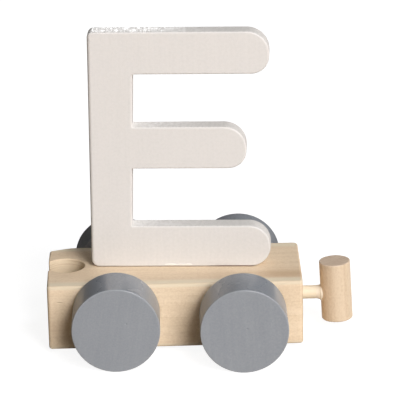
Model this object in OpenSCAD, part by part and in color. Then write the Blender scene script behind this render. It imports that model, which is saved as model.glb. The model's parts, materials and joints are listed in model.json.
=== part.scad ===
// Wooden letter train car: a beech block on two turning wheel pairs, with a painted
// letter standing on its deck, a coupling peg at one end and a coupling socket at the other.
// Sizes are in millimetres. +Z is up, +X points to the peg end and -Y to the letter's front.
// The origin is on the floor, under the middle of the whole car.

/* [Chassis] */
// Length of the wooden block
chassis_l = 73.1; // [66:0.1:100]
// Width of the block
chassis_w = 31.5; // [24:0.1:45]
// Height of the block
chassis_h = 19.3; // [15.5:0.1:30]
// Gap between the block and the floor
ground_gap = 1.4; // [1:0.1:3]
// Rounding of the block's edges
chassis_edge_r = 0.7; // [0.4:0.1:2]
// How far from the block's end its back starts to slope in behind the socket
sanded_reach = 6.1; // [2:0.1:8]
// Turn of that slope in degrees
sanded_turn = 20; // [5:1:30]

/* [Coupling socket] */
// Diameter of the hole that takes the next car's peg
socket_d = 11.2; // [9.5:0.1:14]
// Distance from the block's end to the middle of the hole
socket_inset = 5; // [4:0.1:6]
// Sideways place of the hole, away from the letter's front
socket_y = 1; // [-3:0.1:3]
// Room for the next car's neck to swing in the mouth of the hole
mouth_play = 3.1; // [1:0.1:4]

/* [Coupling peg] */
// Diameter of the peg
peg_d = 9; // [7:0.1:10]
// Length of the peg
peg_l = 17.7; // [13:0.1:20]
// Rounding of the peg's ends
peg_edge_r = 0.4; // [0.2:0.1:1]
// Lean of the peg in degrees, its foot away from the car
peg_lean = 2.6; // [0:0.1:5]
// Height of the peg's middle above the neck
peg_lift = 0.8; // [0:0.1:2]
// Diameter of the neck that carries the peg
neck_d = 3.9; // [3:0.1:5]
// Distance from the block's end to the middle of the peg
neck_reach = 10.35; // [8:0.05:16]
// Depth of the neck in the block
neck_seat = 9; // [6:0.1:11]
// Depth of the neck past the middle of the peg
neck_past = 1; // [0:0.1:2]

/* [Wheels and axles] */
// Diameter of a wheel
wheel_d = 25; // [20:0.1:30]
// Thickness of a wheel
wheel_t = 13.5; // [11:0.1:18]
// Rounding of a wheel's edges
wheel_edge_r = 0.5; // [0.2:0.1:1.5]
// Gap between the block and the socket end's front wheel
socket_front_gap = 0.7; // [0.4:0.1:4]
// Gap between the block and the socket end's back wheel
socket_back_gap = 1; // [0.4:0.1:4]
// Gap between the block and the peg end's front wheel
peg_front_gap = 3.5; // [0.4:0.1:4]
// Gap between the block and the peg end's back wheel
peg_back_gap = 0.7; // [0.4:0.1:4]
// Distance from the socket end to its axle
socket_axle_inset = 19.6; // [16:0.1:24]
// Distance from the peg end to its axle
peg_axle_inset = 17.3; // [14:0.1:21]
// Diameter of an axle
axle_d = 5; // [4:0.1:6]
// Clearance round an axle in the block, on the radius
axle_play = 0.1; // [0.05:0.01:0.1]
// Depth of an axle in a wheel
axle_seat = 9; // [6:0.1:10]

/* [Letter] */
// Height of the letter
letter_h = 70.7; // [58:0.1:85]
// Thickness of the letter
letter_t = 5.6; // [4.6:0.1:8]
// Width of the letter's arms
stroke = 12.5; // [10:0.1:15]
// Width of the stem at the top
stem_top_w = 12.9; // [10:0.1:15]
// Width of the stem at the foot
stem_foot_w = 11.7; // [10:0.1:15]
// How far the back of the stem leans towards the arms, from its foot to its top
stem_lean = 0.7; // [0:0.1:2]
// Length of the top arm, from the back of the stem's foot
top_arm_l = 52.1; // [40:0.1:62]
// Length of the middle arm
middle_arm_l = 45.3; // [36:0.1:55]
// Length of the bottom arm
bottom_arm_l = 51.9; // [40:0.1:62]
// Height of the middle arm above the middle of the letter
middle_arm_lift = 0.9; // [-3:0.1:3]
// Rounding of the stem's top corner
top_corner_r = 1.6; // [0.5:0.1:4]
// Rounding of the stem's foot corner
foot_corner_r = 2.3; // [0.5:0.1:4]
// Place of the letter's middle past the middle of the block, towards the peg
letter_x_offset = 2.25; // [-4:0.05:6]
// Place of the letter's middle behind the middle of the block
letter_y_offset = 0.7; // [-4:0.1:4]
// Turn of the letter in degrees, its arms towards the front
letter_turn = 3.4; // [-5:0.1:5]
// Diameter of a dowel that pins the letter
dowel_d = 3; // [2:0.1:3.5]
// Distance between the two dowels
dowel_spacing = 20; // [14:0.1:24]
// Depth of a dowel in the block
dowel_sink = 7; // [4:0.1:8]
// Depth of a dowel in the letter
dowel_rise = 7; // [4:0.1:8]

/* [Hidden] */
$fn = 96;

block_wood = "#dcc29a";
dowel_wood = "#ecd9b4";
letter_paint = "#e5ddd6";
wheel_paint = "#96989d";

// Cutters run this far past the faces that they open
cut_spare = 1;

// Where the peg's foot reaches, from the middle of the peg
peg_below = peg_l / 2 - peg_lift;
peg_tip = (peg_d / 2 - peg_edge_r) * cos(peg_lean) + (peg_below - peg_edge_r) * sin(peg_lean) + peg_edge_r;

// Places along the car
car_l = chassis_l + neck_reach + peg_tip;
socket_end_x = -car_l / 2;
peg_end_x = socket_end_x + chassis_l;
chassis_x = socket_end_x + chassis_l / 2;
peg_x = peg_end_x + neck_reach;
socket_axle_x = socket_end_x + socket_axle_inset;
peg_axle_x = peg_end_x - peg_axle_inset;

// The gaps of each wheel pair, front and back
socket_gaps = [socket_front_gap, socket_back_gap];
peg_gaps = [peg_front_gap, peg_back_gap];

// Places across the car, whose wheels need not reach as far to the back as to the front
wheel_reach = chassis_w / 2 + wheel_t;
front_reach = wheel_reach + max(socket_front_gap, peg_front_gap);
back_reach = wheel_reach + max(socket_back_gap, peg_back_gap);
chassis_y = (front_reach - back_reach) / 2;
front_y = chassis_y - chassis_w / 2;
back_y = chassis_y + chassis_w / 2;

// Heights
wheel_r = wheel_d / 2;
deck_z = ground_gap + chassis_h;
block_mid_z = ground_gap + chassis_h / 2;

// The socket's mouth lets the neck of the next car through, and keeps its peg in
mouth_w = neck_d + mouth_play;
socket_x = socket_end_x + socket_inset;
socket_mid_y = chassis_y + socket_y;

// The back of the letter's stem lies this far inside the two round corners, so that it meets them cleanly
corner_sink = 0.003;

// The two round corners touch the leaning back of the stem
back_lean = stem_lean / letter_h;
back_slant = sqrt(1 + back_lean * back_lean);
foot_corner_x = foot_corner_r * (back_lean + back_slant);
top_corner_y = letter_h - top_corner_r;
top_corner_x = back_lean * top_corner_y + top_corner_r * back_slant;
foot_back_r = (foot_corner_r - corner_sink) / back_slant;
top_back_r = (top_corner_r - corner_sink) / back_slant;

// Rectangle about the origin with round corners
module round_rectangle(w, h, r) {
    square([w - 2 * r, h], center = true);
    square([w, h - 2 * r], center = true);
    for (sx = [-1, 1], sy = [-1, 1])
        translate([sx * (w / 2 - r), sy * (h / 2 - r)])
            circle(r);
}

// Block about the origin with all its edges rounded
module round_block(l, w, h, r) {
    intersection() {
        linear_extrude(h, center = true)
            round_rectangle(l, w, r);
        rotate([90, 0, 0])
            linear_extrude(w, center = true)
                round_rectangle(l, h, r);
        rotate([90, 0, 90])
            linear_extrude(l, center = true)
                round_rectangle(w, h, r);
    }
}

// Disc standing on z = 0 with both its rims rounded
module round_disc(d, h, r) {
    rotate_extrude() {
        square([d / 2 - r, h]);
        translate([0, r])
            square([d / 2, h - 2 * r]);
        for (z = [r, h - r])
            translate([d / 2 - r, z])
                circle(r);
    }
}

// Waste that leaves the block's back sloping in behind the socket
module sanded_corner() {
    translate([socket_end_x, back_y, ground_gap - cut_spare])
        linear_extrude(chassis_h + 2 * cut_spare)
            polygon([
                [sanded_reach, 0],
                [sanded_reach, cut_spare],
                [-cut_spare, cut_spare],
                [-cut_spare, -(sanded_reach + cut_spare) * tan(sanded_turn)]
            ]);
}

// Hole through the block for the next car's peg, with a mouth in the block's end
module coupling_socket() {
    translate([socket_x, socket_mid_y, ground_gap - cut_spare])
        cylinder(d = socket_d, h = chassis_h + 2 * cut_spare);
    translate([socket_end_x - cut_spare, socket_mid_y - mouth_w / 2, ground_gap - cut_spare])
        cube([socket_inset + cut_spare, mouth_w, chassis_h + 2 * cut_spare]);
}

// Round bar across the car at an axle's place, from its front end to its back end
module axle_bar(x, front_end, back_end, d) {
    translate([x, back_end, wheel_r])
        rotate([90, 0, 0])
            cylinder(d = d, h = back_end - front_end);
}

module chassis() {
    color(block_wood)
        difference() {
            translate([chassis_x, chassis_y, block_mid_z])
                round_block(chassis_l, chassis_w, chassis_h, chassis_edge_r);
            sanded_corner();
            coupling_socket();
            for (x = [socket_axle_x, peg_axle_x])
                axle_bar(x, front_y - cut_spare, back_y + cut_spare, axle_d + 2 * axle_play);
            for (side = [-1, 1])
                letter_dowel(side);
            coupling_neck();
        }
}

// Moves its children to the foot of the letter, turned as the letter is
module at_letter() {
    translate([chassis_x + letter_x_offset, chassis_y + letter_y_offset, deck_z])
        rotate([0, 0, -letter_turn])
            children();
}

// Arm with a round end, its lower edge at height y
module letter_arm(length, y) {
    translate([stroke / 2, y])
        square([length - stroke, stroke]);
    translate([length - stroke / 2, y + stroke / 2])
        circle(d = stroke);
}

// Outline of the letter, the foot of its stem's back at x = 0 and its foot at y = 0
module letter_outline() {
    polygon([
        [foot_corner_x, 0],
        [stem_foot_w, 0],
        [stem_lean + stem_top_w, letter_h],
        [top_corner_x, letter_h],
        [top_corner_x - top_back_r, top_corner_y + top_back_r * back_lean],
        [foot_corner_x - foot_back_r, foot_corner_r + foot_back_r * back_lean]
    ]);
    translate([foot_corner_x, foot_corner_r])
        circle(foot_corner_r);
    translate([top_corner_x, top_corner_y])
        circle(top_corner_r);
    letter_arm(bottom_arm_l, 0);
    letter_arm(middle_arm_l, (letter_h - stroke) / 2 + middle_arm_lift);
    letter_arm(top_arm_l, letter_h - stroke);
}

module letter() {
    color(letter_paint)
        difference() {
            at_letter()
                translate([-top_arm_l / 2, letter_t / 2, 0])
                    rotate([90, 0, 0])
                        linear_extrude(letter_t)
                            letter_outline();
            for (side = [-1, 1])
                letter_dowel(side);
        }
}

module letter_dowel(side) {
    color(dowel_wood)
        at_letter()
            translate([side * dowel_spacing / 2, 0, -dowel_sink])
                cylinder(d = dowel_d, h = dowel_sink + dowel_rise);
}

// Axle that reaches into both of its wheels
module axle(x, gaps) {
    color(dowel_wood)
        axle_bar(x, front_y - gaps[0] - axle_seat, back_y + gaps[1] + axle_seat, axle_d);
}

// Wheel on the front (side -1) or the back (side 1), bored from inside for its axle
module wheel(x, gaps, side) {
    inner_y = side < 0 ? front_y - gaps[0] : back_y + gaps[1];
    color(wheel_paint)
        difference() {
            translate([x, inner_y, wheel_r])
                rotate([-side * 90, 0, 0])
                    round_disc(wheel_d, wheel_t, wheel_edge_r);
            axle(x, gaps);
        }
}

module coupling_neck() {
    color(dowel_wood)
        translate([peg_end_x - neck_seat, chassis_y, block_mid_z])
            rotate([0, 90, 0])
                cylinder(d = neck_d, h = neck_seat + neck_reach + neck_past);
}

module coupling_peg() {
    color(block_wood)
        difference() {
            translate([peg_x, chassis_y, block_mid_z])
                rotate([0, -peg_lean, 0])
                    translate([0, 0, -peg_below])
                        round_disc(peg_d, peg_l, peg_edge_r);
            coupling_neck();
        }
}

chassis();
letter();
letter_dowel(-1);  // letter_dowel_left
letter_dowel(1);  // letter_dowel_right
axle(socket_axle_x, socket_gaps);  // axle_socket_end
wheel(socket_axle_x, socket_gaps, -1);  // wheel_socket_end_front
wheel(socket_axle_x, socket_gaps, 1);  // wheel_socket_end_back
axle(peg_axle_x, peg_gaps);  // axle_peg_end
wheel(peg_axle_x, peg_gaps, -1);  // wheel_peg_end_front
wheel(peg_axle_x, peg_gaps, 1);  // wheel_peg_end_back
coupling_neck();
coupling_peg();
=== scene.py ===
"""Looks of a wooden letter train car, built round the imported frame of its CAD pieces.

Sizes are in metres, in the frame's own axes: +X to the peg end, -Y to the letter's front, +Z up.
The finishes measure in millimetres.
"""
import json
import math

import bmesh
import bpy
import numpy as np
from bpy.props import FloatProperty, FloatVectorProperty, PointerProperty
from mathutils import Euler, Matrix, Vector


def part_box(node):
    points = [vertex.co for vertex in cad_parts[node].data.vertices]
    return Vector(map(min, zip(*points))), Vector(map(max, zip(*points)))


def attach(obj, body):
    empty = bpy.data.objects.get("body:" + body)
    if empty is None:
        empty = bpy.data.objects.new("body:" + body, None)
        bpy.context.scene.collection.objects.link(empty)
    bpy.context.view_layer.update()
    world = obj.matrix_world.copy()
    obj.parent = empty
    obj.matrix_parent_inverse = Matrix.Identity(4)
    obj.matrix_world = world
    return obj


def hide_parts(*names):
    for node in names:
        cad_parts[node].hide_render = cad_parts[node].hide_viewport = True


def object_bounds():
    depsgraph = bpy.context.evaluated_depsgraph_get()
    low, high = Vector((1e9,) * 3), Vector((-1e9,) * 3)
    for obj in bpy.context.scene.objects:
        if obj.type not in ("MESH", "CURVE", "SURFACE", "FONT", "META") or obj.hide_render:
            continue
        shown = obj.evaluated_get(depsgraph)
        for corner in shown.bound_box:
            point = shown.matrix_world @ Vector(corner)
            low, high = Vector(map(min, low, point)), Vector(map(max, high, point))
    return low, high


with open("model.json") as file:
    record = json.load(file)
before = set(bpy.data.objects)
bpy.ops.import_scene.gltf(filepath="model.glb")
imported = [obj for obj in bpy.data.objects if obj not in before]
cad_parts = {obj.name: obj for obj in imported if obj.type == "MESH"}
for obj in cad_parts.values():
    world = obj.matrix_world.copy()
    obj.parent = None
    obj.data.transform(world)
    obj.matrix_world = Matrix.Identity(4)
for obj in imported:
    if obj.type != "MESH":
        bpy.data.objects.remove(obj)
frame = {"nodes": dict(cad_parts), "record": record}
cad_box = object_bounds()

bl_info = {
    "name": "Letter train car",
    "version": (1, 0, 0),
    "blender": (4, 5, 0),
    "location": "3D View > Sidebar > Letter car",
    "description": "Builds the looks of a wooden letter train car round its packed frame",
    "category": "Add Mesh",
}

MM = 0.001
QUARTER = math.pi / 2
FULL = 2 * math.pi
# Points nearer than this are one point
WELD = 1e-7
# Edges that turn by more than this stay crisp, and faces with more sides than this stay flat
SHARP = math.radians(34)
FLAT_SIDES = 8
# Room between a glued dowel and its bore, and width of the plain ring beside a rounded rim
FIT = 0.02 * MM
SUPPORT = 0.3 * MM

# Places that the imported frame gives
BLOCK_LOW, BLOCK_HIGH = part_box("chassis")
MIDLINE = Vector((0, (BLOCK_LOW.y + BLOCK_HIGH.y) / 2, 0))
MOUNTS = {mount["name"]: mount for mount in frame["record"]["mounts"]}
SOCKET = MOUNTS["coupling_socket"]
PEG = MOUNTS["coupling_peg"]
PEG_LEAN = -math.atan2(PEG["axis"][0], -PEG["axis"][2])
BODY_OF_NODE = {
    node: body for body, nodes in frame["record"]["behaviour"]["bodies"].items() for node in nodes
}
WHEELS = sorted(node for node in BODY_OF_NODE if node.startswith("wheel"))
AXLES = sorted(node for node in BODY_OF_NODE if node.startswith("axle"))
DOWELS = ("letter_dowel_left", "letter_dowel_right")


def middle(node):
    """Middle of a node's box."""
    low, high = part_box(node)
    return (low + high) / 2


# The two dowels stand on the letter's middle line, so they give its place and its turn
DOWEL_LINE = middle(DOWELS[1]) - middle(DOWELS[0])
LETTER_TURN = math.atan2(DOWEL_LINE.y, DOWEL_LINE.x)
LETTER_PIECE = "letter_board"
LETTER_LOW, LETTER_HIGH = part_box("letter")
LETTER_FOOT = Vector((*((middle(DOWELS[0]) + middle(DOWELS[1])) / 2).xy, LETTER_LOW.z))

# Noises of the finishes: lumps a millimetre along X, Y and Z, then detail and roughness
RING_BEND = (0.012, 0.07, 0.07), 2.0, 0.5
RING_STRENGTH = (0.01, 0.12, 0.12), 2.0, 0.5
WOOD_STREAK = (0.012, 0.3, 0.3), 3.0, 0.5
WOOD_FIBRE = (0.05, 2.2, 2.2), 4.0, 0.6
WOOD_PORE = (0.25, 5.0, 5.0), 1.0, 0.5
WOOD_FLECK = (1.3, 1.6, 1.6), 3.0, 0.7
BLOCK_TINT = (0.02, 0.06, 0.06), 1.0, 0.5
HEART_EDGE = (0.05, 0.6, 0.6), 2.0, 0.5
DRILL_SCORE = (0.06, 0.06, 2.0), 2.0, 0.5
LETTER_STREAK = (1.0, 0.3, 0.03), 4.0, 0.6
LETTER_CLOUD = (0.1, 0.1, 0.04), 2.0, 0.5
LETTER_GRIT = (1.2, 0.4, 1.2), 3.0, 0.6
WHEEL_STREAK = (0.8, 0.25, 0.03), 4.0, 0.6
WHEEL_CLOUD = (0.15, 0.15, 0.08), 2.0, 0.5
WHEEL_GRIT = (2.0, 1.2, 2.0), 2.0, 0.5
GLUE_LUMPS = (1.5, 1.5, 1.5), 2.0, 0.5


def linear(*levels):
    """Linear colour of display levels from 0 to 255, by the sRGB formula."""
    share = np.array(levels) / 255
    return tuple(np.where(share <= 0.04045, share / 12.92, ((share + 0.055) / 1.055) ** 2.4))


def length(name, description, default):
    """A size in metres that a user can change."""
    return FloatProperty(
        name=name, description=description, default=default, min=0, precision=5,
        unit="LENGTH", subtype="DISTANCE",
    )


def angle(name, description, degrees):
    """An angle that a user can change, given here in degrees."""
    return FloatProperty(
        name=name, description=description, default=math.radians(degrees),
        unit="ROTATION", subtype="ANGLE",
    )


def amount(name, description, default):
    """A plain number that a user can change."""
    return FloatProperty(name=name, description=description, default=default, min=0)


def colour(name, description, *levels):
    """A colour that a user can change, given here in display levels."""
    return FloatVectorProperty(
        name=name, description=description, default=linear(*levels), min=0, max=1, size=3,
        subtype="COLOR",
    )


class BlockSettings(bpy.types.PropertyGroup):
    """The wooden block."""

    edge: length("Edge", "Radius of the sanded edges", 0.75 * MM)
    corner: length("Plain corner", "Radius of the upright corners", 1.0 * MM)
    back_corner: length("Back corner", "Radius of the back corner at the neck's end", 1.6 * MM)
    sanded_reach: length("Sanded reach", "How far the back slopes in behind the socket", 7.5 * MM)
    sanded_bend: length("Sanded bend", "Radius where the back bends into its slope", 8 * MM)
    sanded_turn: angle("Sanded turn", "Turn of the slope behind the socket", 20)
    horn: length("Horn", "Radius of the wood beside the socket's mouth", 0.4 * MM)
    rim: length("Socket's rim", "Radius of the socket's softened rim", 0.3 * MM)
    bow: length("Bow", "How far the sanded walls dip below a true plane", 0.12 * MM)
    ring: length("Ring", "Width of a year's ring", 2.3 * MM)
    light: colour("Light wood", "Spring wood", 242, 219, 190)
    dark: colour("Dark wood", "Summer wood and dark streaks", 206, 176, 140)
    blush: colour("Blush", "Warmer patches of the wood", 233, 202, 170)
    bored: colour("Bored wood", "Pale wood on the socket's wall", 230, 212, 184)
    # Pale band along the long edges: partly rubbed wood, partly a painted highlight of a wide rounded edge
    rubbed: colour("Rubbed wood", "Pale wood rubbed along the long edges", 239, 224, 199)
    heart: colour("Heart streak", "Brown streak along the deck", 188, 152, 114)


class LetterSettings(bpy.types.PropertyGroup):
    """The painted letter and the glue at its foot."""

    stroke: length("Stroke", "Width of the arms", 12.5 * MM)
    stem_foot: length("Stem's foot", "Width of the stem at its foot", 11.7 * MM)
    stem_top: length("Stem's top", "Width of the stem at its top", 12.9 * MM)
    stem_lean: length("Stem's lean", "How far the stem's back leans in at its top", 0.7 * MM)
    top_arm: length("Top arm", "Length of the top arm from the back of the foot", 52.1 * MM)
    middle_arm: length("Middle arm", "Length of the middle arm", 45.3 * MM)
    bottom_arm: length("Bottom arm", "Length of the bottom arm", 51.9 * MM)
    middle_low: length("Middle arm's height", "Height of the middle arm's lower edge", 30 * MM)
    arm_corner: length("Arm's corner", "Radius of the arms' upper corners", 6.4 * MM)
    arm_under: length("Arm's lower corner", "Radius of the upper arms' lower corners", 5.2 * MM)
    thickness: length("Thickness", "Thickness of the letter", 5.6 * MM)
    edge: length("Edge", "Radius of the softened edges", 0.45 * MM)
    top_corner: length("Top corner", "Radius of the stem's top corner", 1.6 * MM)
    foot_corner: length("Foot corner", "Radius of the stem's foot corner", 2.3 * MM)
    nook: length("Nook", "Radius of the inner corners", 0.4 * MM)
    bead: length("Glue bead", "Half the height of the glue squeezed out at the foot", 0.45 * MM)
    bead_reach: length("Glue reach", "Half the length of the glue bead", 4.6 * MM)
    bead_off: length("Glue's place", "How far the bead lies to the stem's side", 0.8 * MM)
    paint: colour("Paint", "Off-white paint", 231, 226, 223)
    # Also the colour of painted shade: on the end grain away from the stem, and low down near the deck
    shade: colour("Shade", "Paint in the grain's hollows", 217, 213, 209)
    # Near-white paint for the tips and rough end grain: a painted sheen, not a colour of the grain
    bare: colour("Grain tips", "Pale tips of rough end grain", 248, 245, 242)
    # Dark line along the foot: partly a stain, partly painted contact shadow where the letter meets the deck
    soiled: colour("Soiled foot", "Brown line along the foot", 112, 86, 68)
    glue: colour("Glue", "Dried wood glue", 246, 243, 240)
    glue_shade: colour("Thin glue", "Dried glue where it is thin", 236, 228, 218)


class WheelSettings(bpy.types.PropertyGroup):
    """The four painted wheels."""

    edge: length("Edge", "Radius of the softened rims", 0.26 * MM)
    mark: length("Mark", "Radius of the small mark in the face", 0.4 * MM)
    mark_step: length("Mark's step", "How much further each wheel's mark lies off its middle", 0.85 * MM)
    paint: colour("Paint", "Mid grey paint", 149, 152, 158)
    shade: colour("Shade", "Paint in the grain's hollows", 135, 139, 146)
    # Paler paint for the rim edges: partly wear, partly a painted highlight
    worn: colour("Worn edge", "Paint rubbed thin on the rims", 172, 174, 179)


class CouplingSettings(bpy.types.PropertyGroup):
    """The peg and its neck, and the plain dowels inside the car."""

    peg_below: length("Peg below", "How far the peg reaches below the neck's middle", 8.05 * MM)
    peg_above: length("Peg above", "How far the peg reaches above the neck's middle", 9.65 * MM)
    peg_edge: length("Peg's edge", "Radius of the peg's softened ends", 0.35 * MM)
    peg_ring: length("Peg's ring", "Width of a year's ring in the peg", 1.3 * MM)
    neck_ring: length("Neck's ring", "Width of a year's ring in the neck", 1.1 * MM)
    dowel_ring: length("Dowel's ring", "Width of a year's ring in the axles and dowels", 1.2 * MM)
    fillet: length("Glue fillet", "Reach of the glue along the neck", 1.4 * MM)
    peg_light: colour("Light wood", "Spring wood of the peg", 228, 206, 179)
    peg_dark: colour("Dark wood", "Summer wood of the peg", 194, 163, 130)
    dowel_light: colour("Light dowel", "Spring wood of the dowels", 232, 220, 198)
    dowel_dark: colour("Dark dowel", "Summer wood of the dowels", 224, 207, 178)
    cut: colour("Cut ends", "Dull end grain of the peg and the dowels", 210, 190, 175)
    glue: colour("Glue", "Dried wood glue on the neck", 232, 220, 202)
    glue_shade: colour("Thin glue", "Dried glue where it is thin", 222, 206, 182)


class StageSettings(bpy.types.PropertyGroup):
    """Camera, lamps and floor."""

    camera: FloatVectorProperty(
        name="Camera", description="Place of the camera", size=3, unit="LENGTH",
        subtype="TRANSLATION", default=(-9.638 * MM, -791.963 * MM, 327.165 * MM),
    )
    yaw: angle("Yaw", "Turn of the camera to the right", 0.714)
    pitch: angle("Pitch", "Dip of the camera", 19.881)
    roll: angle("Roll", "Turn of the picture to the left", 1.15)
    lens: FloatProperty(
        name="Lens", description="Focal length on a 36 mm sensor, in millimetres",
        default=263.87, min=1,
    )
    key: amount("Key", "Light of the softbox on a white card that faces it", 1.24)
    fill: amount("Fill", "Light of the lamp at the right, on a card that faces it", 0.1)
    sheen: amount("Sheen", "Light of the small lamp on the letter's upper edges", 0.058)
    back: amount("Back", "Light of the low lamp behind, on a card that faces it", 0.4)
    left: amount("Left", "Light of the low lamp behind the left end, on a card that faces it", 0.1)
    ambient: amount("Ambient", "Light from all round", 0.02)
    floor: colour("Floor", "The floor as the object's light sees it", 168, 150, 124)
    screen: colour("Screen", "Dark cloth that only reflections see", 40, 40, 40)


class LetterCarSettings(bpy.types.PropertyGroup):
    """Everything that a user can change."""

    block: PointerProperty(type=BlockSettings)
    letter: PointerProperty(type=LetterSettings)
    wheels: PointerProperty(type=WheelSettings)
    coupling: PointerProperty(type=CouplingSettings)
    stage: PointerProperty(type=StageSettings)


# Shader maths


def binary(operation):
    """A Python operator and its reflected form, each of which adds one Math node."""
    def plain(self, other):
        return self.math(operation, self, other)

    def reflected(self, other):
        return self.math(operation, other, self)

    return plain, reflected


class Socket:
    """An output socket that takes part in Python arithmetic."""

    __add__, __radd__ = binary("ADD")
    __sub__, __rsub__ = binary("SUBTRACT")
    __mul__, __rmul__ = binary("MULTIPLY")
    __truediv__, __rtruediv__ = binary("DIVIDE")
    __pow__, __rpow__ = binary("POWER")
    __mod__, __rmod__ = binary("FLOORED_MODULO")

    def __init__(self, nodes, out):
        self.nodes = nodes
        self.out = out

    def __abs__(self):
        return self.math("ABSOLUTE", self)

    def math(self, operation, *terms):
        """A Math node with these terms."""
        return self.nodes.node("ShaderNodeMath", {"operation": operation}, dict(enumerate(terms)))

    def least(self, other):
        """The smaller of two values."""
        return self.math("MINIMUM", self, other)

    def swing(self, size):
        """A noise's swing about its middle, times a size."""
        return (self - 0.5) * size

    def sibling(self, name):
        """Another output of the same node."""
        return Socket(self.nodes, self.out.node.outputs[name])


def slant(first, second):
    """Length of the slant over two steps at right angles: the root of the sum of their squares."""
    return (first ** 2 + second ** 2) ** 0.5


def rgba(shown):
    """A colour as a socket takes it. A linked colour passes through."""
    return shown if isinstance(shown, Socket) else (*shown, 1.0)


class Nodes:
    """A node tree, emptied, with the few kinds of node that the finishes share."""

    # The Mix node's sockets for colours, by number, because other kinds of data share their names
    mix_share, mix_first, mix_second, mix_result = 0, 6, 7, 2

    def __init__(self, tree):
        self.tree = tree
        tree.nodes.clear()

    def node(self, kind, settings, sockets, output=0):
        """Adds a node: its settings first, then the values or links of its sockets."""
        made = self.tree.nodes.new(kind)
        for name, value in settings.items():
            setattr(made, name, value)
        for name, value in sockets.items():
            if isinstance(value, Socket):
                self.tree.links.new(value.out, made.inputs[name])
            else:
                made.inputs[name].default_value = value
        return Socket(self, made.outputs[output]) if made.outputs else None

    def place(self, centre, turn=(0, 0, 0)):
        """Millimetres in a piece's own frame: object coordinates moved to its centre and turned back."""
        read = self.node("ShaderNodeTexCoord", {}, {}, "Object")
        sockets = {"Vector": read, "Location": centre, "Rotation": turn, "Scale": (MM, MM, MM)}
        return self.node("ShaderNodeMapping", {"vector_type": "TEXTURE"}, sockets)

    def axes(self, where):
        """The three parts of a vector."""
        x = self.node("ShaderNodeSeparateXYZ", {}, {"Vector": where}, "X")
        return x, x.sibling("Y"), x.sibling("Z")

    def noise(self, where, per_mm, detail, roughness):
        """Noise about 0.5 with so many lumps a millimetre along each axis."""
        stretched = self.node(
            "ShaderNodeVectorMath", {"operation": "MULTIPLY"}, {0: where, 1: per_mm}
        )
        sockets = {"Vector": stretched, "Scale": 1.0, "Detail": detail, "Roughness": roughness}
        return self.node("ShaderNodeTexNoise", {}, sockets, "Fac")

    def ramp(self, value, low, high, least=0.0):
        """A smooth step from least at low to 1 at high."""
        sockets = {"Value": value, "From Min": low, "From Max": high, "To Min": least}
        return self.node("ShaderNodeMapRange", {"interpolation_type": "SMOOTHSTEP"}, sockets)

    def fade(self, value, low, high):
        """A smooth step down from 1 at low to 0 at high."""
        return 1 - self.ramp(value, low, high)

    def mix(self, first, second, share):
        """A colour between two, by a share that is kept from 0 to 1."""
        settings = {"data_type": "RGBA", "clamp_factor": True}
        colours = {self.mix_first: rgba(first), self.mix_second: rgba(second)}
        return self.node("ShaderNodeMix", settings, {self.mix_share: share, **colours}, self.mix_result)

    def attribute(self, name):
        """A number that the mesh holds at its points."""
        return self.node("ShaderNodeAttribute", {"attribute_name": name}, {}, "Fac")

    def seen(self):
        """1 for rays that show the background itself, 0 for rays that carry its light."""
        camera = self.node("ShaderNodeLightPath", {}, {}, "Is Camera Ray")
        shown = camera + camera.sibling("Is Glossy Ray") + camera.sibling("Is Transmission Ray")
        return shown.least(1.0)

    def surface(self, sockets, height, relief):
        """A Principled surface whose bumps have a height from 0 to 1 times relief."""
        normal = self.node(
            "ShaderNodeBump", {}, {"Strength": 1.0, "Distance": relief, "Height": height}
        )
        shader = self.node("ShaderNodeBsdfPrincipled", {}, {**sockets, "Normal": normal})
        self.node("ShaderNodeOutputMaterial", {}, {"Surface": shader})


def new_nodes(name):
    """An empty material and its nodes."""
    material = bpy.data.materials.new(name)
    material.use_nodes = True
    return material, Nodes(material.node_tree)


# Finishes


def wood_grain(nodes, where, ring, pith, figure):
    """Sawn wood whose grain runs along X, in millimetres.

    Year rings are cylinders about a pith line, bent by slow noise. Each darkens as the square of the way
    through it and fades just before its end, and the figure says how clearly they show. Streaks, fibres,
    pores and flecks are noises, most of them drawn out along X. Returns the share of dark wood, the
    fibres and the pores.
    """
    ring_bend = 6
    ring_end = (0.86, 1.0)
    pore_step = (0.60, 0.74)
    streak_share, fibre_share, pore_share, fleck_share, plain_share = 0.9, 0.5, 0.1, 1.1, 0.14
    y, z = nodes.axes(where)[1:]
    radius = slant(y - pith[0], z - pith[1]) + nodes.noise(where, *RING_BEND) * ring_bend
    phase = radius / (ring / MM) % 1
    late = phase ** 2 * nodes.fade(phase, *ring_end)
    rings = late * nodes.noise(where, *RING_STRENGTH) * figure
    streak = nodes.noise(where, *WOOD_STREAK)
    fibre = nodes.noise(where, *WOOD_FIBRE)
    pore = nodes.ramp(nodes.noise(where, *WOOD_PORE), *pore_step)
    fleck = nodes.noise(where, *WOOD_FLECK)
    fine = fibre.swing(fibre_share) + pore * pore_share + fleck.swing(fleck_share)
    return rings + streak.swing(streak_share) + fine + plain_share, fibre, pore


def heart_streak(nodes, where, half):
    """Share of the brown streak along the deck.

    Its middle line lies at a distance from the front that grows with the square of the way from the peg
    end. It shows most near both ends of the deck, and more towards the peg.
    """
    from_front, drift = 6.0, 5.0
    ragged, reach = 4, 6.5
    plain_share, end_share = 0.1, 0.42
    ends = (0.5, 0.85)
    peg_side = (-10, 20)
    x, y = nodes.axes(where)[:2]
    way = (x - half.x) / (2 * half.x)
    from_streak = abs(y + half.y - from_front - drift * way ** 2)
    edge = nodes.noise(where, *HEART_EDGE).swing(ragged)
    band = nodes.fade(from_streak + edge, 0, reach)
    near_ends = nodes.ramp(abs(x) / half.x, *ends)
    return band * (plain_share + near_ends * end_share) * nodes.ramp(x, *peg_side, least=0.3)


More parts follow.
